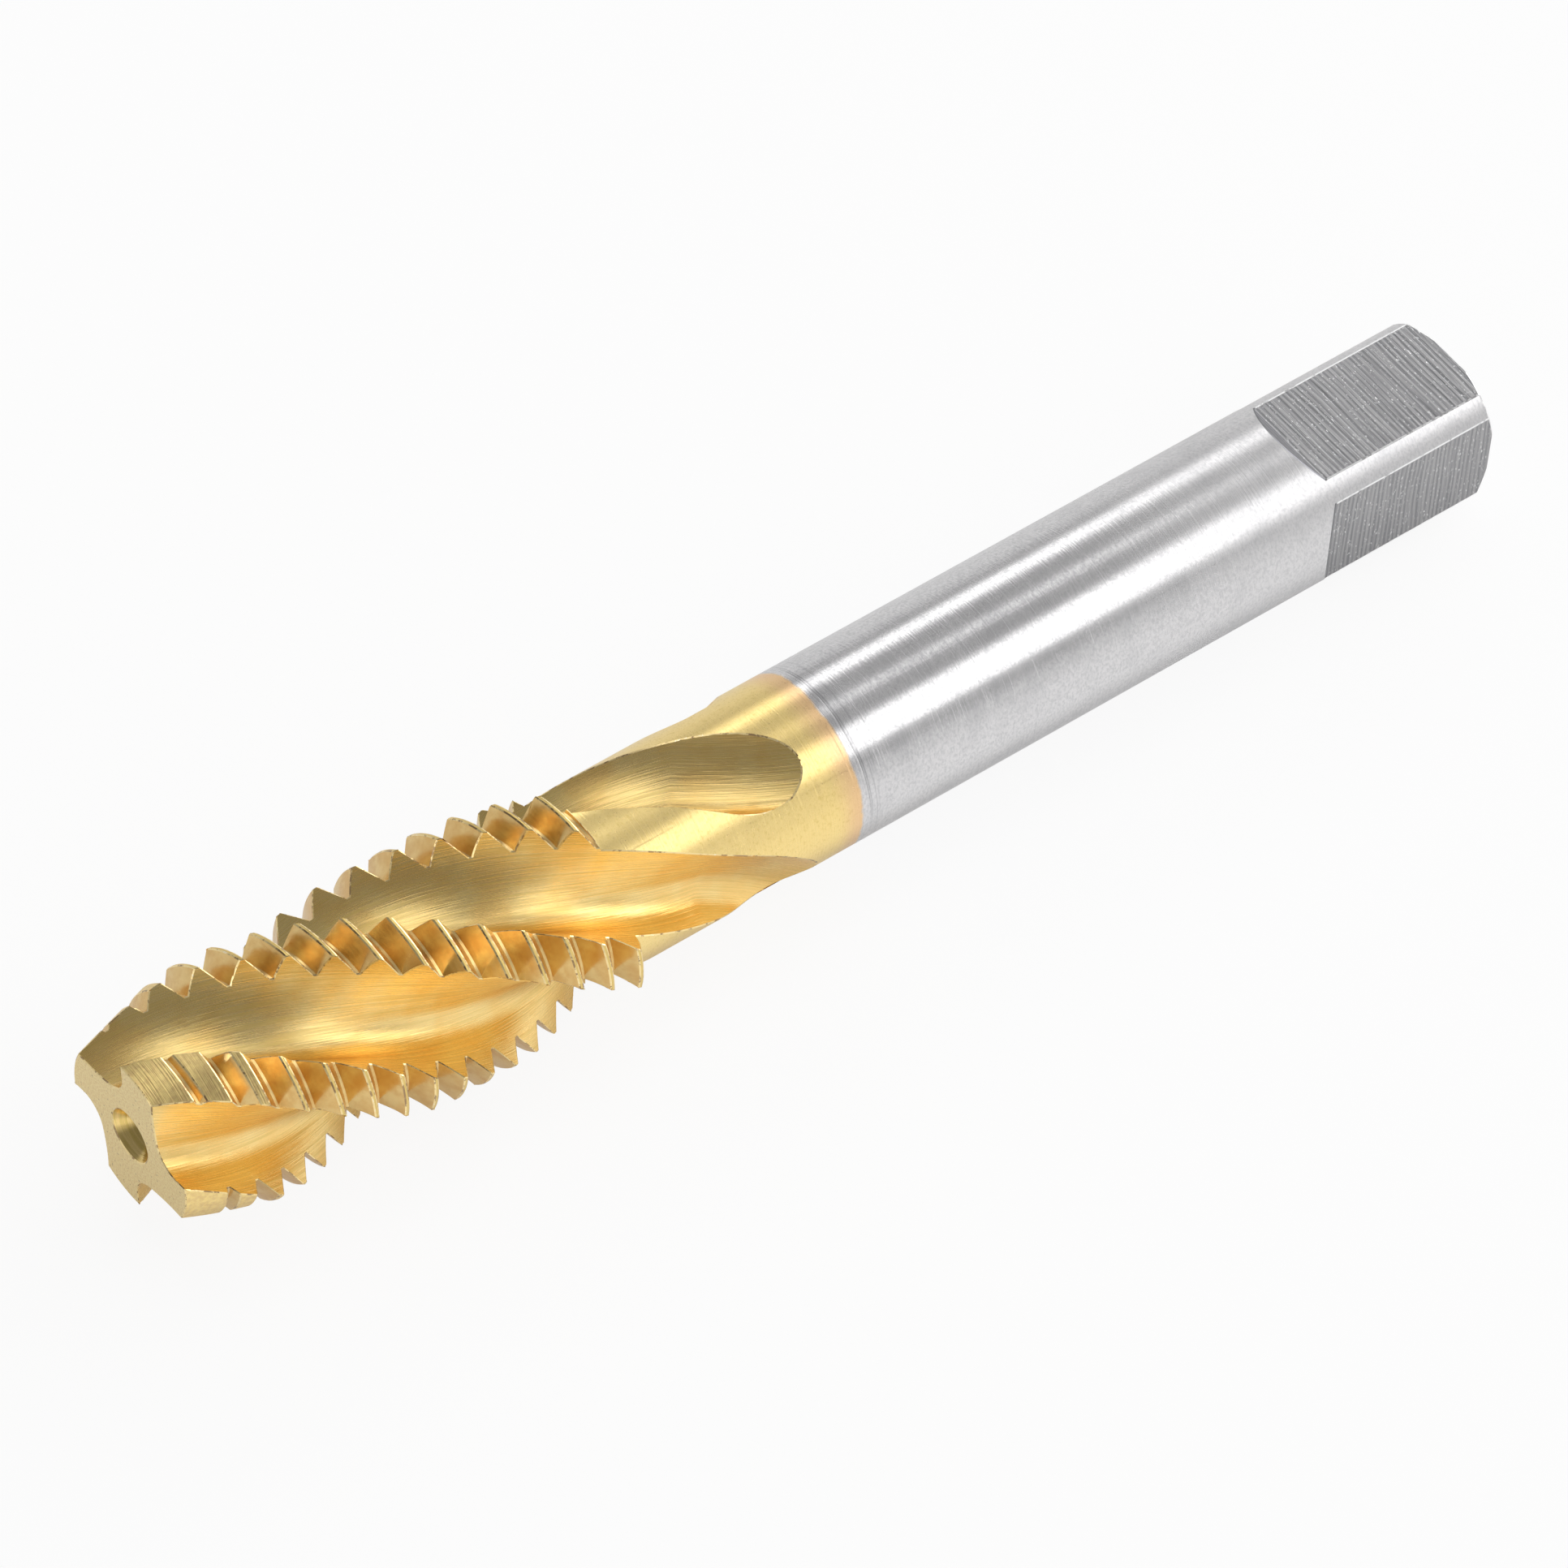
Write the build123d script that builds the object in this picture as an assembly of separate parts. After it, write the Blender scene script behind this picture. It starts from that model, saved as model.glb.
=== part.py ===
"""Spiral-flute machine tap, M14 x 2, in one piece. Millimetres, +Z up.

It is drawn upright on its tip and then laid along X: the middle of the tip's face is the origin, the
driving square is at +X, and the square's flats face up, down and to the sides, as a tap lies on a bench.
"""
from build123d import *

import os
from math import acos, atan, ceil, cos, degrees, pi, radians, sin, tan

# Overall
overall_length = 93.1
shank_diameter = 11.0

# Thread: metric form, right-hand, with the shank's own diameter right behind it
thread_diameter = 14.05
thread_pitch = 2.0
thread_angle = 60.0
thread_crest_flat = 0.25
thread_root_flat = 0.16
thread_length = 30.4
thread_back_angle = 72.0
thread_phase = 0.14

# Tapered lead at the tip
tip_diameter = 10.7
lead_length = 6.0

# Flutes: right-hand spiral, as a form wheel grinds them, set over by the helix angle at the crests
flute_count = 4
flute_lead = 61.5
flute_phase = 60.0
flute_core_diameter = 6.4
flute_length = 36.5
flute_face_rake = 13.2
flute_corner_radius = 1.475
flute_back_radius = 5.8
flute_back_tilt = 15.2
flute_wheel_diameter = 60.0

# Driving square
square_width = 8.8
square_length = 12.0
square_shoulder_angle = 45.0
rear_chamfer_depth = 0.9
rear_chamfer_length = 0.5

# Centre holes in both ends
tip_centre_diameter = 3.4
rear_centre_diameter = 3.6
centre_angle = 60.0
pilot_diameter = 1.6
pilot_length = 2.0
pilot_point_angle = 118.0

# How far a cutter reaches past what it cuts, and the spacing of the sections along a flute
overcut = 1.0
section_step = 2.0

# The turned faces' seam, from the middle of the flute at the thread's back: it cuts no land in two
seam_offset = 8.0

thread_radius = thread_diameter / 2
shank_radius = shank_diameter / 2
core_radius = flute_core_diameter / 2
wheel_radius = flute_wheel_diameter / 2
helix_angle = degrees(atan(pi * thread_diameter / flute_lead))
groove_width = thread_pitch - thread_crest_flat
flank_slope = tan(radians(thread_angle / 2))
root_radius = thread_radius - (groove_width - thread_root_flat) / (2 * flank_slope)


def polar(radius, angle):
    """A point in the plane, from its radius and its angle in degrees."""
    return Vector(radius * cos(radians(angle)), radius * sin(radians(angle)))


def turned_blank():
    """Tapered lead, thread cylinder, its sloped back, the shank and the rear chamfer."""
    back_run = (thread_radius - shank_radius) / tan(radians(thread_back_angle))
    outline = Polyline(
        (0, 0),
        (tip_diameter / 2, 0),
        (thread_radius, lead_length),
        (thread_radius, thread_length - back_run),
        (shank_radius, thread_length),
        (shank_radius, overall_length - rear_chamfer_length),
        (shank_radius - rear_chamfer_depth, overall_length),
        (0, overall_length),
        close=True,
    )
    seam_angle = flute_phase + 360 * thread_length / flute_lead + seam_offset
    return Rot(0, 0, seam_angle) * revolve(Plane.XZ * make_face(outline), Axis.Z)


def thread_turns():
    """The helical V groove as single turns laid end to end, from below the tip to past the thread."""
    outer_radius = thread_radius + overcut / 10
    outer_width = groove_width + 2 * flank_slope * (outer_radius - thread_radius)
    section = Polyline(
        (root_radius, -thread_root_flat / 2),
        (outer_radius, -outer_width / 2),
        (outer_radius, outer_width / 2),
        (root_radius, thread_root_flat / 2),
        close=True,
    )
    path = Helix(thread_pitch, thread_pitch, root_radius)
    turn = sweep(Plane.XZ * make_face(section), path=path, is_frenet=True)
    turns_below = ceil(overcut / thread_pitch) + 1
    start = thread_phase + thread_pitch / 2 - turns_below * thread_pitch
    turn_count = ceil((thread_length + overcut - start) / thread_pitch)
    return [Pos(0, 0, start + k * thread_pitch) * turn for k in range(turn_count)]


def flute_outline():
    """The wheel's form, square across a flute: X points out of the tap from its axis.

    A corner arc touches the core. The flat cutting face leaves it on one side, and on the other a
    wider arc carries on smoothly to the land's heel. The outline closes outside the thread.
    """
    reach = thread_radius + 1.5 * overcut
    corner_middle = Vector(core_radius + flute_corner_radius, 0)
    joint = corner_middle - polar(flute_corner_radius, flute_back_tilt)
    halfway = (flute_back_tilt + flute_face_rake - 90) / 2
    deepest = corner_middle - polar(flute_corner_radius, halfway)
    touch = corner_middle - polar(flute_corner_radius, flute_face_rake - 90)
    face_end = touch + polar((reach - touch.X) / cos(radians(flute_face_rake)), flute_face_rake)

    back_middle = joint + polar(flute_back_radius, flute_back_tilt)
    heel_angle = degrees(acos((back_middle.X - reach) / flute_back_radius))
    heel = back_middle - polar(flute_back_radius, heel_angle)
    back_point = back_middle - polar(flute_back_radius, (heel_angle + flute_back_tilt) / 2)
    return make_face(
        [
            ThreePointArc(heel, back_point, joint),
            ThreePointArc(joint, deepest, touch),
            Line(touch, face_end),
            Line(face_end, heel),
        ]
    )


def flute_cutter():
    """A flute as sections square across it: along the spiral, then round the wheel as it runs out."""
    outline = flute_outline()
    start = -overcut - thread_radius * sin(radians(helix_angle))
    spiral_steps = ceil((flute_length - start) / section_step)
    wheel_middle = Pos(core_radius + wheel_radius, 0, 0)
    wheel_swing = degrees(acos(1 - (shank_radius + overcut - core_radius) / wheel_radius))
    swing_steps = ceil(radians(wheel_swing) * wheel_radius / section_step)

    def across(height):
        turn = flute_phase + 360 * height / flute_lead
        return Pos(0, 0, height) * Rot(0, 0, turn) * Rot(-helix_angle, 0, 0)

    sections = []
    for k in range(spiral_steps + 1):
        sections.append(across(start + (flute_length - start) * k / spiral_steps) * outline)
    for k in range(1, swing_steps + 1):
        swing = wheel_middle * Rot(0, wheel_swing * k / swing_steps, 0) * wheel_middle.inverse()
        sections.append(across(flute_length) * swing * outline)
    return loft(sections)


def square_cutters():
    """What is milled off for the four flats, with a sloped shoulder at their front end."""
    front = overall_length - square_length
    half_width = square_width / 2
    outer = shank_radius + overcut
    shoulder = (outer - half_width) / tan(radians(square_shoulder_angle))
    side = Polyline(
        (half_width, front),
        (outer, front - shoulder),
        (outer, overall_length + overcut),
        (half_width, overall_length + overcut),
        close=True,
    )
    cutter = extrude(Plane.XZ * make_face(side), amount=shank_radius + overcut, both=True)
    return [Rot(0, 0, 90 * k) * cutter for k in range(4)]


def centre_hole(mouth_diameter):
    """A centre drill's cone, pilot and drill point, opening at height 0 and going up."""
    mouth = mouth_diameter / 2
    pilot = pilot_diameter / 2
    cone_slope = tan(radians(centre_angle / 2))
    cone_depth = (mouth - pilot) / cone_slope
    point_depth = pilot / tan(radians(pilot_point_angle / 2))
    outline = Polyline(
        (0, -overcut),
        (mouth + overcut * cone_slope, -overcut),
        (pilot, cone_depth),
        (pilot, cone_depth + pilot_length),
        (0, cone_depth + pilot_length + point_depth),
        close=True,
    )
    return revolve(Plane.XZ * make_face(outline), Axis.Z)


def tap():
    flute = flute_cutter()
    flutes = [Rot(0, 0, 360 * k / flute_count) * flute for k in range(flute_count)]
    rear_centre = Pos(0, 0, overall_length) * Rot(180, 0, 0) * centre_hole(rear_centre_diameter)
    body = turned_blank() - centre_hole(tip_centre_diameter) - rear_centre - square_cutters()
    body = body - flutes
    body = body - thread_turns()
    return Rot(0, 90, 0) * body


os.makedirs("parts", exist_ok=True)
export_step(tap().solid(), "parts/spiral_flute_tap.step")
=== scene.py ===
"""Thread tap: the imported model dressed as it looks, with its stage, light and camera.

Lengths are millimetres up to the meshes, which are metres. The tap is drawn upright on its tip, as its
source draws it, and laid along X at the end.
"""

from math import acos, atan, ceil, cos, degrees, hypot, pi, radians, sin, tan

import bmesh
import bpy
import numpy as np
from mathutils import Matrix, Vector


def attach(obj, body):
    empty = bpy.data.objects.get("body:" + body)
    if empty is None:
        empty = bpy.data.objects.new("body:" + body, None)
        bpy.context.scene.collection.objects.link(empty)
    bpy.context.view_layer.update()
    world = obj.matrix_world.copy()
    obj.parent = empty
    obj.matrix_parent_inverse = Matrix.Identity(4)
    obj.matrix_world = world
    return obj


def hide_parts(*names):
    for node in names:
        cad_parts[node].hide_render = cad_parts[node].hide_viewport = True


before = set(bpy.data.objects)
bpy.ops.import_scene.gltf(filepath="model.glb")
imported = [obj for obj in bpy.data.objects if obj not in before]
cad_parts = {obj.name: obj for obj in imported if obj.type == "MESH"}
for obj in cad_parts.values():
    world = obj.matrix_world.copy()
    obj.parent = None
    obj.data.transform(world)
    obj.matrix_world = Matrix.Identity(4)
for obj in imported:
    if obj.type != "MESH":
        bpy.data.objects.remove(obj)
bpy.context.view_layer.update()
NODE = "spiral_flute_tap"
MM = 0.001

# The tap's own sizes, as in its source
overall_length = 93.1
shank_radius = 5.5
thread_radius = 7.025
thread_pitch = 2.0
thread_half_angle = 30.0
crest_flat = 0.25
root_flat = 0.16
thread_length = 30.4
thread_back_angle = 72.0
thread_phase = 0.14
tip_radius = 5.35
lead_length = 6.0
flute_count = 4
flute_lead = 61.5
flute_phase = 60.0
core_radius = 3.2
flute_length = 36.5
face_rake = 13.2
corner_radius = 1.475
back_radius = 5.8
back_tilt = 15.2
wheel_radius = 30.0
square_half = 4.4
square_length = 12.0
chamfer_depth = 0.9
chamfer_length = 0.5
tip_centre_radius = 1.7
rear_centre_radius = 1.8
centre_half_angle = 30.0
pilot_radius = 0.8
pilot_length = 2.0
pilot_point_half_angle = 59.0
overcut = 1.0

helix_angle = degrees(atan(2 * pi * thread_radius / flute_lead))
flank_slope = tan(radians(thread_half_angle))
groove_width = thread_pitch - crest_flat
root_radius = thread_radius - (groove_width - root_flat) / (2 * flank_slope)
square_front = overall_length - square_length

# How finely the meshes are cut: points round a turned body, lengths in mm, an angle, points on a form
body_points = 288
centre_points = 96
ring_step = 0.5
thread_step = 3.0
back_arc_points = 25
corner_arc_points = 27
face_points = 10
pilot_point_flat = 0.02

# Sharp edges are broken by a strip this wide, after points closer than the least gap are merged
edge_width = 0.06
sharp_angle = 30.0
least_gap = 0.004
shading_angle = 12.0

# The coating: where it ends, how far its edge wavers, how long its rosy end and the scuffs behind it are
coating_end = 46.25
coating_waver = 0.6
rosy_length = 2.0
scuffed_length = 2.2

# The shank is duller by the square, and the square's milled lines are this far apart
dull_length = 20.0
mill_spacing = 0.33

# Finishes
gold = (0.95, 0.705, 0.295)
gold_orange = (0.93, 0.625, 0.225)
gold_olive = (0.70, 0.51, 0.15)
gold_neck = (0.93, 0.72, 0.30)
gold_flank = (0.80, 0.58, 0.25)
gold_brown = (0.72, 0.46, 0.17)
gold_face = (0.97, 0.81, 0.45)
gold_crest = (0.80, 0.58, 0.25)
gold_rosy = (0.82, 0.50, 0.33)
# Burnt brown for pits and edges, and painted shade deep in the tip's centre hole
burnt_and_shade = (0.38, 0.25, 0.13)
bright_edge = (0.94, 0.74, 0.36)
# Painted glint: near-white spots on the coated edges
painted_glint = (1.0, 0.90, 0.66)
steel = (0.70, 0.69, 0.695)
steel_dark = (0.48, 0.48, 0.49)
steel_square = (0.42, 0.415, 0.42)
steel_square_dark = (0.25, 0.25, 0.26)
# Painted shade: the square's shoulder and the bare edges round it, near-black
shoulder_painted_shade = (0.15, 0.15, 0.16)
steel_edge = (0.88, 0.88, 0.88)
floor_pale = (0.94, 0.94, 0.94)

# The floor touches the tap where it really rests: the last crests and the shank's underside by the square
crest_contact = (29.5, -thread_radius)
shank_contact = (square_front - (shank_radius - square_half), -shank_radius)
floor_half = 4.0

# How much of the floor is plain white to each kind of ray; the rest is lit, and holds the shadow. In the
# metal it is all white in a strip in front of the tap, a painted reflection, which starts and ends between
# these distances
camera_glow = 0.9
glossy_glow = 0.2
transmission_glow = 0.2
strip_near = (5.0, 11.0)
strip_far = (60.0, 120.0)

# The sky's strength along a direction, between two places and with its values there: dim behind the tip
# and overhead, paler towards the square
sky_lean = ("X", -0.32, 0.02, 0.75, 1.0)
sky_height = ("Z", 0.02, 0.42, 0.85, 0.33)
sky_end = ("X", 0.47, 0.62, 0.0, 0.35)

# Soft panels: the angle round the tap from +Y towards +Z and its width, the lean towards the square and
# its width, in degrees, and the brightness. All are this many metres from the tap's middle
panels = {
    "top": (80, 36, 1, 28, 1.2),
    "top_thin": (80, 10, 36, 32, 1.0),
    "far": (39, 17, 34, 42, 1.8),
    "near": (128, 32, 24, 19, 1.8),
    "near_wide": (128, 36, 46, 24, 1.3),
    "low": (157, 26, 8, 17, 1.4),
    "square_end": (75, 100, 68, 26, 3.0),
    "tip_end": (100, 60, -76, 16, 2.2),
}
panel_distance = 0.9

# The camera that the photo's own points gave
camera_place = (-0.183459, -0.265238, 0.431593)
camera_turn = (0.896408, 0.307701, -0.128642, -0.291933)
camera_lens = 226.13
sensor_width = 36.0
camera_reach = (0.05, 20.0)


def polar(radius, angle):
    """A point in the plane, from its radius and its angle in degrees."""
    return np.array([radius * cos(radians(angle)), radius * sin(radians(angle))])


def shift(x, y, z):
    return np.array(Matrix.Translation((x, y, z)))


def turn(angle, axis):
    return np.array(Matrix.Rotation(radians(angle), 4, axis))


def carried(rings, place):
    """Points, or rings of them, moved by a 4 x 4 matrix."""
    return np.asarray(rings, float) @ place[:3, :3].T + place[:3, 3]


def lengths_along(points):
    """Distance along a line of points, from its first."""
    steps = np.linalg.norm(np.diff(points, axis=0), axis=1)
    return np.concatenate([[0], np.cumsum(steps)])


def linked(name, mesh):
    thing = bpy.data.objects.new(name, mesh)
    bpy.context.scene.collection.objects.link(thing)
    return thing


def tube(name, rings, slots):
    """A closed tube from rings of points, laid along X.

    Slots gives the finish of each strip between two rings, and last that of both ends.
    """
    ring_count, side = rings.shape[:2]
    corners = np.arange(ring_count * side).reshape(ring_count, side)
    ahead = np.roll(corners, -1, axis=1)
    quads = np.stack([corners[:-1], ahead[:-1], ahead[1:], corners[1:]], axis=-1).reshape(-1, 4)
    ends = [corners[0][::-1].tolist(), corners[-1].tolist()]
    laid = carried(rings.reshape(-1, 3), turn(90, "Y")) * MM
    mesh = bpy.data.meshes.new(name)
    mesh.from_pydata(laid.tolist(), [], quads.tolist() + ends)
    for material in materials:
        mesh.materials.append(material)
    face_counts = [side] * (ring_count - 1) + [len(ends)]
    mesh.polygons.foreach_set("material_index", np.repeat(slots, face_counts).tolist())

    # Across and along the strips, in mm, for the grinding lines
    closed = np.concatenate([rings, rings[:, :1]], axis=1)
    across = lengths_along(closed[ring_count // 2])
    along = lengths_along(rings.mean(axis=1))
    i, j = np.divmod(np.arange(len(quads)), side)
    uv = np.zeros((len(quads), 4, 2))
    for corner, (over, up) in enumerate([(0, 0), (1, 0), (1, 1), (0, 1)]):
        uv[:, corner] = np.stack([across[j + over], along[i + up]], 1)
    layer = mesh.uv_layers.new(name="strips")
    layer.data.foreach_set("uv", np.concatenate([uv.reshape(-1), np.zeros(4 * side)]))
    mesh.validate()
    mesh.update()
    return outward(linked(name, mesh))


def outward(thing):
    """The tube turned inside out if its faces point inwards."""
    mesh = thing.data
    points = np.array([v.co for v in mesh.vertices])
    mesh.calc_loop_triangles()
    corners = np.array([t.vertices for t in mesh.loop_triangles])
    a, b, c = (points[corners[:, k]] for k in range(3))
    if np.einsum("ij,ij->i", a, np.cross(b, c)).sum() < 0:
        mesh.flip_normals()
    return thing


def turned(name, outline, slots, count):
    """A turned body: outline is (radius, height) from one end to the other."""
    angles = np.radians(np.arange(count) * 360 / count)
    rings = [np.stack([r * np.cos(angles), r * np.sin(angles), 0 * angles + z], 1) for r, z in outline]
    return tube(name, np.array(rings), slots)


def arc(middle, radius, first, last, count):
    """Points on the far side of a circle's middle, between two angles."""
    return [middle - polar(radius, angle) for angle in np.linspace(first, last, count)]


def flute_outline():
    """The wheel's form, square across a flute, as points: back arc, corner arc, cutting face."""
    reach = thread_radius + 1.5 * overcut
    corner_middle = np.array([core_radius + corner_radius, 0])
    joint = corner_middle - polar(corner_radius, back_tilt)
    touch = corner_middle - polar(corner_radius, face_rake - 90)
    back_middle = joint + polar(back_radius, back_tilt)
    heel_angle = degrees(acos((back_middle[0] - reach) / back_radius))
    back = arc(back_middle, back_radius, heel_angle, back_tilt, back_arc_points)
    corner = arc(corner_middle, corner_radius, back_tilt, face_rake - 90, corner_arc_points)
    face_length = (reach - touch[0]) / cos(radians(face_rake))
    face = [touch + polar(d, face_rake) for d in np.linspace(0, face_length, face_points)]
    return np.array([[x, y, 0] for x, y in back + corner[1:] + face[1:]])


def flute_rings():
    """The wheel's form carried along the spiral and then round the wheel as it runs out."""
    outline = flute_outline()
    start = -overcut - thread_radius * sin(radians(helix_angle))
    wheel_swing = degrees(acos(1 - (shank_radius + overcut - core_radius) / wheel_radius))
    to_wheel = shift(core_radius + wheel_radius, 0, 0)
    from_wheel = shift(-core_radius - wheel_radius, 0, 0)

    def across(height):
        angle = flute_phase + 360 * height / flute_lead
        return shift(0, 0, height) @ turn(angle, "Z") @ turn(-helix_angle, "X")

    spiral_count = ceil((flute_length - start) / ring_step)
    swing_count = ceil(radians(wheel_swing) * wheel_radius / ring_step)
    rings = [carried(outline, across(h)) for h in np.linspace(start, flute_length, spiral_count + 1)]
    for swing in np.linspace(0, wheel_swing, swing_count + 1)[1:]:
        rings.append(carried(outline, across(flute_length) @ to_wheel @ turn(swing, "Y") @ from_wheel))
    return np.array(rings)


def thread_rings():
    """The V groove's section carried up the thread's helix."""
    outer_radius = thread_radius + overcut / 10
    outer_width = groove_width + 2 * flank_slope * (outer_radius - thread_radius)
    section = [
        (root_radius, -root_flat / 2),
        (outer_radius, -outer_width / 2),
        (outer_radius, outer_width / 2),
        (root_radius, root_flat / 2),
    ]
    bottom = thread_phase + thread_pitch / 2 - 2 * thread_pitch
    turns = (thread_length + overcut - bottom) / thread_pitch
    rings = []
    for angle in np.arange(0, 360 * turns, thread_step):
        x, y = polar(1, angle)
        height = bottom + thread_pitch * angle / 360
        rings.append([(r * x, r * y, height + rise) for r, rise in section])
    return np.array(rings)


def square_rings():
    """One of the four cutters that mill the square: its side view at both ends of its stroke."""
    outer = shank_radius + overcut
    side = [
        (square_half, square_front),
        (outer, square_front - (outer - square_half)),
        (outer, overall_length + overcut),
        (square_half, overall_length + overcut),
    ]
    return np.array([[(x, y, z) for x, z in side] for y in (-outer, outer)])


def centre_outline(mouth):
    """A centre drill's cone, pilot and drill point, from outside its mouth inwards."""
    slope = tan(radians(centre_half_angle))
    cone_depth = (mouth - pilot_radius) / slope
    point_depth = pilot_radius / tan(radians(pilot_point_half_angle))
    return [
        (mouth + overcut * slope, -overcut),
        (pilot_radius, cone_depth),
        (pilot_radius, cone_depth + pilot_length),
        (pilot_point_flat, cone_depth + pilot_length + point_depth),
    ]


def cut(body, cutter):
    """The cutter taken from the body, for good."""
    step = body.modifiers.new("cut", "BOOLEAN")
    step.operation = "DIFFERENCE"
    step.solver = "MANIFOLD"
    step.object = cutter
    graph = bpy.context.evaluated_depsgraph_get()
    mesh = bpy.data.meshes.new_from_object(body.evaluated_get(graph), depsgraph=graph)
    body.modifiers.remove(step)
    body.data = mesh
    bpy.data.objects.remove(cutter)


def sharp(edge):
    """Whether an edge stands out sharply between two faces."""
    return len(edge.link_faces) == 2 and edge.calc_face_angle_signed(0) > radians(sharp_angle)


def tucked(net):
    """The rear end's points that its broken edges have passed are moved back to the corners."""
    inner = (square_half - edge_width) * MM
    gap = least_gap * MM
    rear = [v for v in net.verts if v.co.x > overall_length * MM - gap]
    reach = {v: max(abs(v.co.y), abs(v.co.z)) for v in rear}
    corners = [v.co.copy() for v in rear if abs(reach[v] - inner) < gap]
    for v in rear:
        if reach[v] > inner + gap:
            v.co = min(corners, key=lambda corner: (corner - v.co).length)
    bmesh.ops.remove_doubles(net, verts=rear, dist=gap)


def broken(body, outline):
    """The body's sharp outer edges broken by a narrow strip, which stays inside the turned outline."""
    net = bmesh.new()
    net.from_mesh(body.data)
    bmesh.ops.remove_doubles(net, verts=net.verts, dist=least_gap * MM)
    bmesh.ops.triangulate(net, faces=[f for f in net.faces if len(f.verts) > 4])
    edges = [e for e in net.edges if sharp(e)]
    width = edge_width * MM
    bmesh.ops.bevel(net, geom=edges, offset=width, segments=1, profile=0.5, affect="EDGES", material=EDGE)
    radii, lengths = zip(*outline)
    for v in net.verts:
        v.co.x = min(max(v.co.x, lengths[0] * MM), lengths[-1] * MM)
        limit = np.interp(v.co.x / MM, lengths, radii) * MM
        reach = hypot(v.co.y, v.co.z)
        if reach > limit:
            v.co.y *= limit / reach
            v.co.z *= limit / reach
    tucked(net)
    net.to_mesh(body.data)
    net.free()


class Net:
    """A node tree, built by short calls."""

    def __init__(self, tree):
        self.tree = tree

    def add(self, kind, inputs=None, **settings):
        node = self.tree.nodes.new(kind)
        for key, value in settings.items():
            setattr(node, key, value)
        for key, value in (inputs or {}).items():
            self.put(node.inputs[key], value)
        return node

    def put(self, socket, value):
        if isinstance(value, bpy.types.NodeSocket):
            self.tree.links.new(value, socket)
        elif socket.type == "RGBA":
            socket.default_value = (*value, 1)
        else:
            socket.default_value = value

    def maths(self, operation, a, b=0.0, c=0.0):
        return self.add("ShaderNodeMath", {0: a, 1: b, 2: c}, operation=operation).outputs[0]

    def times(self, a, b):
        return self.maths("MULTIPLY", a, b)

    def plus(self, a, b):
        return self.maths("ADD", a, b)

    def parts(self, vector):
        return self.add("ShaderNodeSeparateXYZ", {0: vector}).outputs

    def between(self, value, low, high, to_low=0.0, to_high=1.0):
        """The value's way from low to high, held to the range from to_low to to_high."""
        inputs = {"Value": value, "From Min": low, "From Max": high, "To Min": to_low, "To Max": to_high}
        return self.add("ShaderNodeMapRange", inputs, interpolation_type="SMOOTHSTEP").outputs[0]


class Finish(Net):
    """A metal's nodes, with its place on the tap in mm."""

    def __init__(self, name):
        self.material = bpy.data.materials.new(name)
        self.material.use_nodes = True
        super().__init__(self.material.node_tree)
        place = self.add("ShaderNodeTexCoord").outputs["Object"]
        self.mm = self.add("ShaderNodeVectorMath", {0: place, "Scale": 1 / MM}, operation="SCALE").outputs[0]
        self.x = self.parts(self.mm)[0]

    def noise(self, vector, detail=3.0, roughness=0.6):
        inputs = {"Vector": vector, "Scale": 1.0, "Detail": detail, "Roughness": roughness}
        return self.add("ShaderNodeTexNoise", inputs).outputs["Fac"]

    def grain(self, x, y, z, detail=3.0, roughness=0.6):
        """Noise over the place in mm: a large number makes it fine in that direction."""
        stretched = self.add("ShaderNodeVectorMath", {0: self.mm, 1: (x, y, z)}, operation="MULTIPLY")
        return self.noise(stretched.outputs[0], detail, roughness)

    def mix(self, factor, first, second):
        node = self.add("ShaderNodeMix", {0: factor, 6: first, 7: second}, data_type="RGBA")
        return node.outputs[2]

    def metal(self, color, roughness, height, depth):
        """The finished metal: depth is the relief, in mm, that the height makes."""
        bump = self.add("ShaderNodeBump", {"Height": height, "Distance": depth * MM, "Strength": 1.0})
        shader = self.tree.nodes["Principled BSDF"].inputs
        self.put(shader["Metallic"], 1.0)
        self.put(shader["Base Color"], color)
        self.put(shader["Roughness"], roughness)
        self.put(shader["Normal"], bump.outputs[0])
        return self.material


def ground_shank():
    """Bright ground steel with fine lines round it, gold-coated up to a slightly wavy edge."""
    net = Finish("ground_shank")
    lines = net.grain(9, 0.06, 0.06, detail=2.0)
    specks = net.grain(6, 4, 4, roughness=0.7)
    soft = net.grain(0.5, 0.35, 0.35, detail=2.0)
    wave = net.grain(0.6, 0.5, 0.5)
    edge = net.plus(net.x, net.times(net.maths("SUBTRACT", wave, 0.5), coating_waver))
    coated = net.between(edge, coating_end - 0.12, coating_end + 0.12, 1.0, 0.0)

    rosy = net.between(edge, coating_end - rosy_length, coating_end - 0.1)
    golden = net.mix(net.times(soft, 0.5), gold_neck, gold)
    golden = net.mix(net.between(specks, 0.48, 0.74, 0.0, 0.6), golden, gold_olive)
    golden = net.mix(net.times(rosy, 0.6), golden, gold_rosy)

    near_edge = net.between(edge, coating_end, coating_end + scuffed_length, 1.0, 0.0)
    scuffed = net.times(near_edge, net.between(lines, 0.52, 0.62))
    bright = net.mix(net.between(specks, 0.38, 0.68, 0.0, 0.55), steel, steel_dark)
    bright = net.mix(net.between(soft, 0.45, 0.75, 0.0, 0.3), bright, steel_dark)
    bright = net.mix(net.times(scuffed, 0.55), bright, steel_square_dark)

    satin = net.plus(net.between(specks, 0.3, 0.7, 0.21, 0.26), net.times(coated, 0.06))
    roughness = net.plus(satin, net.between(net.x, square_front - dull_length, square_front, 0.0, 0.09))
    return net.metal(net.mix(coated, bright, golden), roughness, lines, 0.012)


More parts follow.
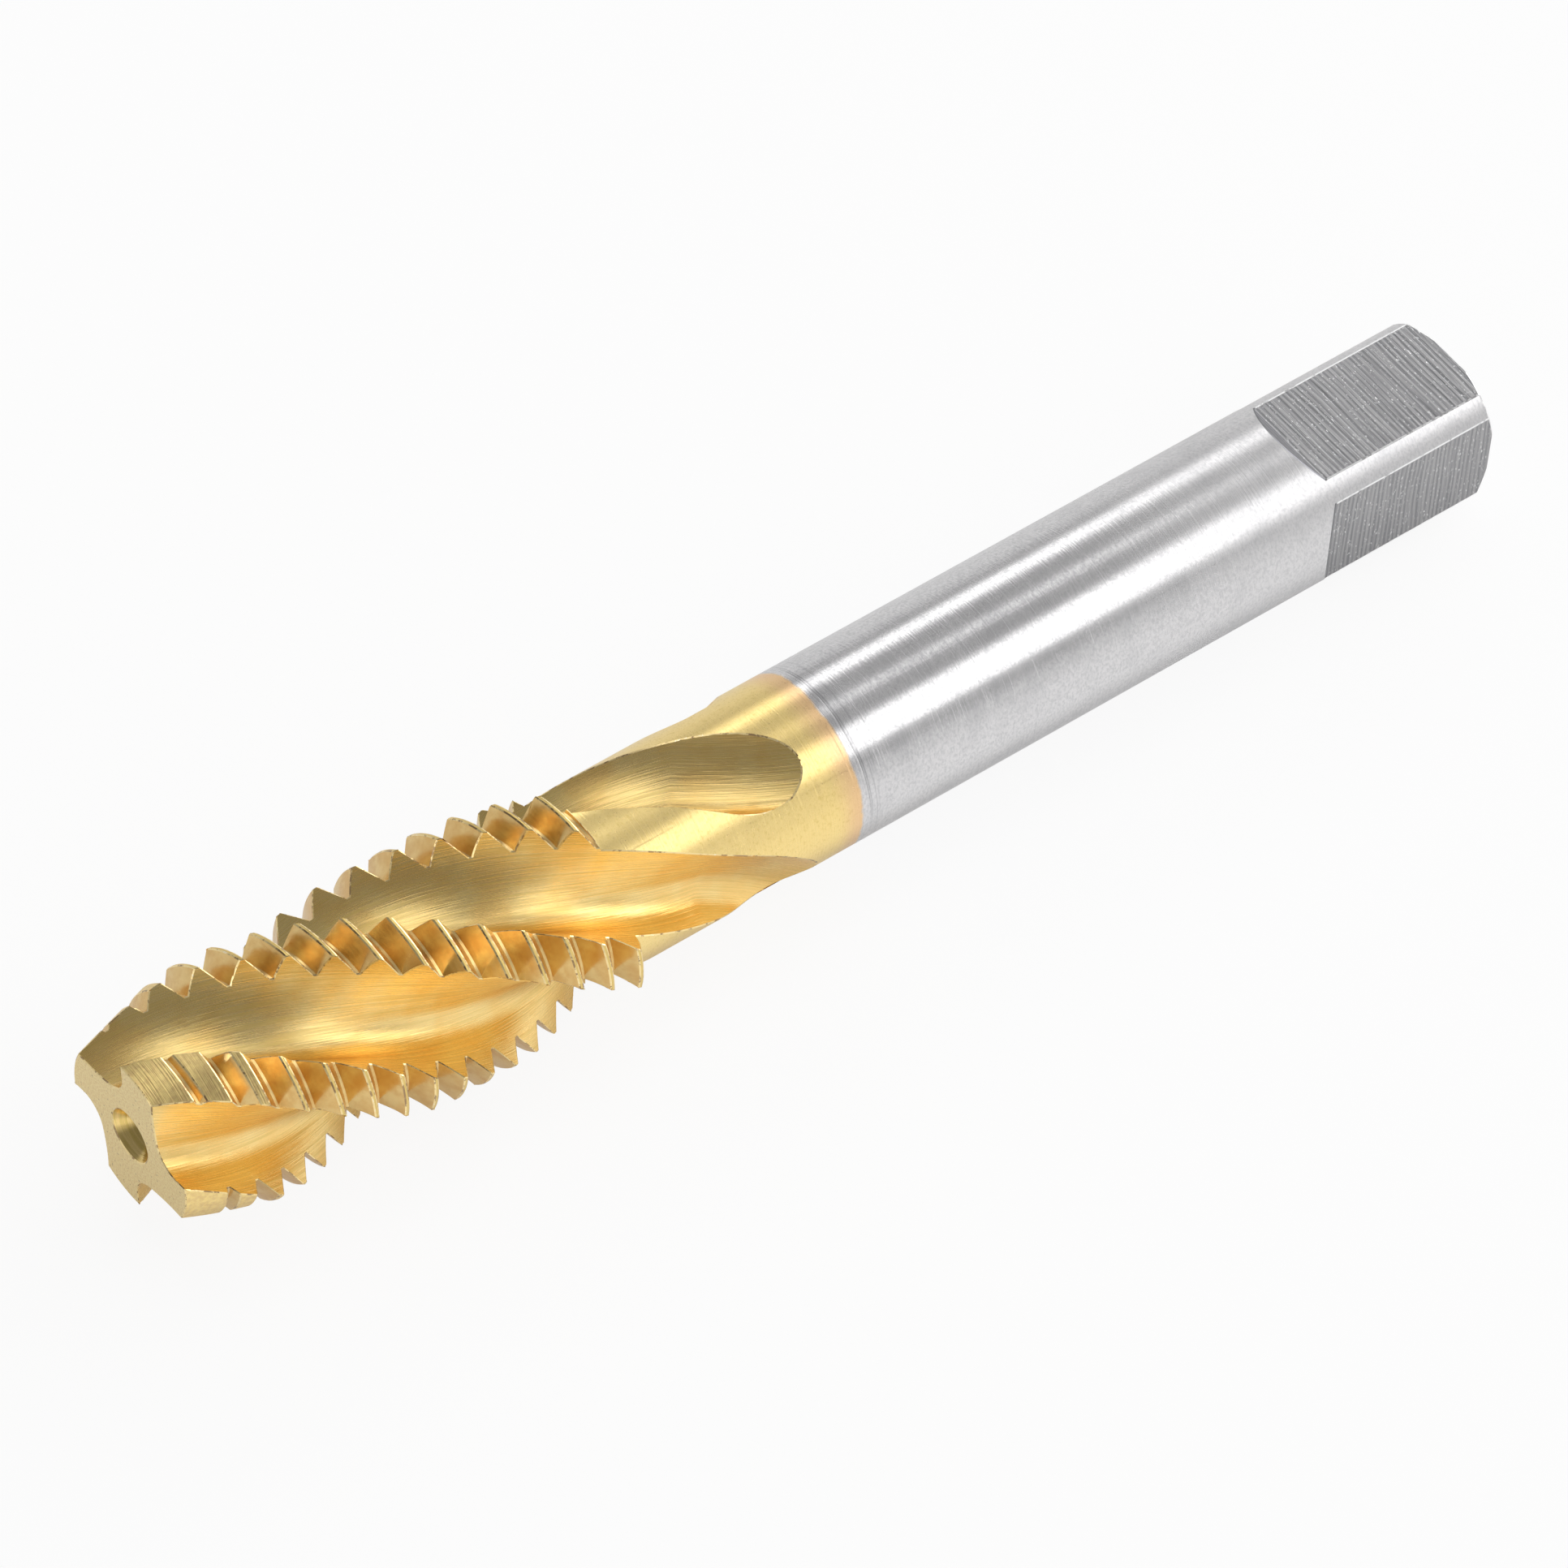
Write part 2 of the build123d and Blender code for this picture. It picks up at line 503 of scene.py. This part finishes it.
def turned_crest():
    """The tooth tops: brass-like gold with fine lines round them, darker past the lead."""
    net = Finish("turned_crest")
    lines = net.grain(11, 0.25, 0.25, detail=2.0)
    spots = net.grain(3, 3, 3, detail=4.0)
    color = net.mix(net.between(spots, 0.35, 0.65), gold_crest, gold_neck)
    color = net.mix(net.between(net.x, lead_length - 1, lead_length + 2, 0.0, 0.6), color, gold_olive)
    return net.metal(color, net.between(lines, 0.3, 0.7, 0.34, 0.46), lines, 0.03)


def tip_face():
    """The ground face at the tip: matt, with small pits."""
    net = Finish("tip_face")
    grains = net.grain(7, 7, 7, detail=5.0, roughness=0.7)
    pits = net.grain(4, 4, 4, detail=1.0)
    color = net.mix(net.between(grains, 0.30, 0.60), gold_crest, gold_face)
    color = net.mix(net.between(pits, 0.68, 0.74, 0.0, 0.7), color, burnt_and_shade)
    return net.metal(color, 0.42, grains, 0.02)


def thread_flank():
    """The ground flanks and roots of the thread: smooth and a little darker towards brown."""
    net = Finish("thread_flank")
    clouds = net.grain(0.9, 0.9, 0.9)
    lines = net.grain(9, 0.5, 0.5, detail=2.0)
    color = net.mix(net.between(clouds, 0.35, 0.65), gold_flank, gold_brown)
    return net.metal(color, net.between(lines, 0.3, 0.7, 0.20, 0.27), lines, 0.002)


def fluted():
    """The flutes: satin gold with fine, dense grinding lines along them."""
    net = Finish("fluted")
    across, along, flat = net.parts(net.add("ShaderNodeUVMap", uv_map="strips").outputs[0])
    fine = net.add("ShaderNodeCombineXYZ", {0: net.times(across, 8.5), 1: net.times(along, 0.10), 2: flat})
    lines = net.noise(fine.outputs[0], roughness=0.75)
    clouds = net.grain(0.35, 0.35, 0.35, detail=2.0)
    golden = net.mix(net.between(clouds, 0.35, 0.65), gold, gold_orange)
    color = net.mix(net.between(lines, 0.40, 0.70, 0.0, 0.65), golden, gold_olive)
    return net.metal(color, net.between(lines, 0.3, 0.7, 0.22, 0.34), lines, 0.02)


def milled_square():
    """The square's flats: dull steel with close lines across, and bright specks along them; the shoulder in
    front of them near-black, a painted shade.
    """
    net = Finish("milled_square")
    drift = net.grain(0.25, 0.15, 0.15, detail=1.0)
    passes = net.plus(net.times(net.x, 2 * pi / mill_spacing), net.times(drift, 9.0))
    ridges = net.between(net.maths("SINE", passes), -1.0, 1.0)
    lines = net.grain(9, 0.14, 0.14, roughness=0.75)
    specks = net.grain(9, 4, 4, detail=2.0, roughness=0.8)
    height = net.plus(net.times(ridges, 0.22), lines)
    color = net.mix(net.between(height, 0.40, 0.80), steel_square_dark, steel_square)
    color = net.mix(net.between(specks, 0.63, 0.70), color, steel_edge)
    # Painted shade: the shoulder in front of the flats is near-black
    color = net.mix(net.between(net.x, square_front - 0.1, square_front), shoulder_painted_shade, color)
    return net.metal(color, net.between(lines, 0.3, 0.7, 0.28, 0.42), height, 0.02)


def rear_steel():
    """The chamfer and the end face: turned steel."""
    net = Finish("rear_steel")
    grains = net.grain(5, 5, 5, detail=4.0)
    color = net.mix(net.between(grains, 0.3, 0.7), steel, steel_dark)
    return net.metal(color, net.between(grains, 0.3, 0.7, 0.28, 0.42), grains, 0.01)


def centre_bore():
    """The centre holes: drilled, gold at the tip and bare at the rear, with painted shade deeper in the
    tip's hole.
    """
    net = Finish("centre_bore")
    lines = net.grain(8, 0.4, 0.4, detail=2.0)
    coated = net.between(net.x, coating_end - 1, coating_end + 1, 1.0, 0.0)
    golden = net.mix(net.between(lines, 0.3, 0.7), gold, gold_olive)
    # Painted shade: darker brown deeper into the tip's hole
    golden = net.mix(net.between(net.x, 0.4, 2.4, 0.0, 0.8), golden, burnt_and_shade)
    return net.metal(net.mix(coated, steel_dark, golden), 0.20, lines, 0.01)


def worn_edge():
    """The broken edges: scorched and bright by turns where coated, with small near-white painted glints,
    bright where bare, and a painted shade round the square's shoulder.
    """
    net = Finish("worn_edge")
    patches = net.grain(1.1, 1.1, 1.1, detail=4.0, roughness=0.8)
    golden = net.mix(net.between(patches, 0.42, 0.50), burnt_and_shade, bright_edge)
    # Painted glint: near-white spots among the coated edges
    golden = net.mix(net.between(patches, 0.60, 0.66), golden, painted_glint)
    bare = net.mix(net.between(patches, 0.40, 0.50), steel_square, steel_edge)
    # Painted shade: the bare edges round the shoulder are near-black
    bare = net.mix(net.between(net.x, square_front, square_front + 0.2), shoulder_painted_shade, bare)
    coated = net.between(net.x, coating_end - 0.1, coating_end + 0.1, 1.0, 0.0)
    return net.metal(net.mix(coated, bare, golden), 0.30, patches, 0.01)


SHANK, CREST, FACE, FLANK, FLUTE, SQUARE, REAR, CENTRE, EDGE = range(9)
materials = [
    ground_shank(),
    turned_crest(),
    tip_face(),
    thread_flank(),
    fluted(),
    milled_square(),
    rear_steel(),
    centre_bore(),
    worn_edge(),
]


def dressed_tap():
    """The tap as one fine mesh, cut as its source cuts it, with a finish for each kind of surface."""
    back_run = (thread_radius - shank_radius) / tan(radians(thread_back_angle))
    outline = [
        (tip_radius, 0),
        (thread_radius, lead_length),
        (thread_radius, thread_length - back_run),
        (shank_radius, thread_length),
        (shank_radius, overall_length - chamfer_length),
        (shank_radius - chamfer_depth, overall_length),
    ]
    body = turned("spiral_flute_tap_fine", outline, [CREST, CREST, FLANK, SHANK, REAR, FACE], body_points)
    rear_end = body.data.polygons[-1]
    rear_end.material_index = REAR

    tip_centre = centre_outline(tip_centre_radius)
    rear_centre = [(r, overall_length - z) for r, z in centre_outline(rear_centre_radius)]
    for centre in (tip_centre, rear_centre):
        cut(body, turned("centre_cut", centre, [CENTRE] * len(centre), centre_points))
    for name, rings, slot, count in (
        ("square_cut", square_rings(), SQUARE, 4),
        ("flute_cut", flute_rings(), FLUTE, flute_count),
        ("thread_cut", thread_rings(), FLANK, 1),
    ):
        for k in range(count):
            cut(body, tube(name, carried(rings, turn(360 * k / count, "Z")), [slot] * len(rings)))
    broken(body, outline)
    body.data.polygons.foreach_set("use_smooth", [True] * len(body.data.polygons))
    body.data.set_sharp_from_angle(angle=radians(shading_angle))
    return body


def floor_material():
    """Pale floor, near white to the camera and paler in the metal too, with a strip in front glowing white
    only in reflections, a painted reflection, and keeping the tap's shadow.
    """
    material = bpy.data.materials.new("pale_floor")
    material.use_nodes = True
    material.node_tree.nodes.clear()
    net = Net(material.node_tree)
    place = net.add("ShaderNodeTexCoord").outputs["Object"]
    in_front = net.times(net.parts(place)["Y"], -1 / MM)
    # Painted reflection: a strip of floor in front of the tap glows full white to glossy rays only
    strip = net.times(net.between(in_front, *strip_near), net.between(in_front, *strip_far, 1.0, 0.0))
    rays = net.add("ShaderNodeLightPath").outputs
    glossy = net.maths("MULTIPLY_ADD", strip, 1 - glossy_glow, glossy_glow)
    share = net.times(rays["Is Glossy Ray"], glossy)
    share = net.maths("MULTIPLY_ADD", rays["Is Camera Ray"], camera_glow, share)
    share = net.maths("MULTIPLY_ADD", rays["Is Transmission Ray"], transmission_glow, share)
    lit = net.add("ShaderNodeBsdfDiffuse", {"Color": floor_pale}).outputs[0]
    white = net.add("ShaderNodeEmission", {"Strength": 1.0}).outputs[0]
    surface = net.add("ShaderNodeMixShader", {0: share, 1: lit, 2: white}).outputs[0]
    net.add("ShaderNodeOutputMaterial", {"Surface": surface})
    return material


def floor():
    slope = (shank_contact[1] - crest_contact[1]) / (shank_contact[0] - crest_contact[0])
    middle = Vector((crest_contact[0] * MM, 0, crest_contact[1] * MM))
    along = Vector((1, 0, slope)).normalized() * floor_half
    across = Vector((0, 1, 0)) * floor_half
    corners = [middle + along * i + across * j for i, j in ((-1, -1), (1, -1), (1, 1), (-1, 1))]
    mesh = bpy.data.meshes.new("floor")
    mesh.from_pydata(corners, [], [(0, 1, 2, 3)])
    mesh.materials.append(floor_material())
    linked("floor", mesh)


def sky():
    """A dim world, paler towards the square and at the horizon."""
    world = bpy.data.worlds.new("studio")
    bpy.context.scene.world = world
    world.use_nodes = True
    net = Net(world.node_tree)
    parts = net.parts(net.add("ShaderNodeTexCoord").outputs["Generated"])
    lean, height, end = (net.between(parts[axis], *ends) for axis, *ends in (sky_lean, sky_height, sky_end))
    background = world.node_tree.nodes["Background"].inputs
    net.put(background["Color"], (1, 1, 1))
    net.put(background["Strength"], net.plus(net.times(lean, height), end))


def panel_lamps():
    """Soft panels above the tap and towards its square."""
    middle = Vector((overall_length / 2 * MM, 0, 0))
    for name, (angle, angle_width, lean, lean_width, level) in panels.items():
        around = Vector((0, cos(radians(angle)), sin(radians(angle))))
        away = Vector((sin(radians(lean)), 0, 0)) + around * cos(radians(lean))
        along = Vector((cos(radians(lean)), 0, 0)) - around * sin(radians(lean))
        light = bpy.data.lights.new("panel_" + name, "AREA")
        light.shape = "RECTANGLE"
        light.size = 2 * panel_distance * tan(radians(lean_width / 2))
        light.size_y = 2 * panel_distance * cos(radians(lean)) * tan(radians(angle_width / 2))
        light.energy = level * pi * light.size * light.size_y
        axes = Matrix((along, away.cross(along), away)).transposed().to_4x4()
        place = Matrix.Translation(middle + away * panel_distance)
        linked("panel_" + name, light).matrix_world = place @ axes


def camera():
    lens = bpy.data.cameras.new("photo_camera")
    lens.lens = camera_lens
    lens.sensor_width = sensor_width
    lens.clip_start, lens.clip_end = camera_reach
    eye = linked("photo_camera", lens)
    eye.location = camera_place
    eye.rotation_mode = "QUATERNION"
    eye.rotation_quaternion = camera_turn
    bpy.context.scene.camera = eye


tap = dressed_tap()
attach(tap, "root")
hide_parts(NODE)
floor()
sky()
panel_lamps()
camera()
bpy.context.scene.view_settings.view_transform = "Standard"
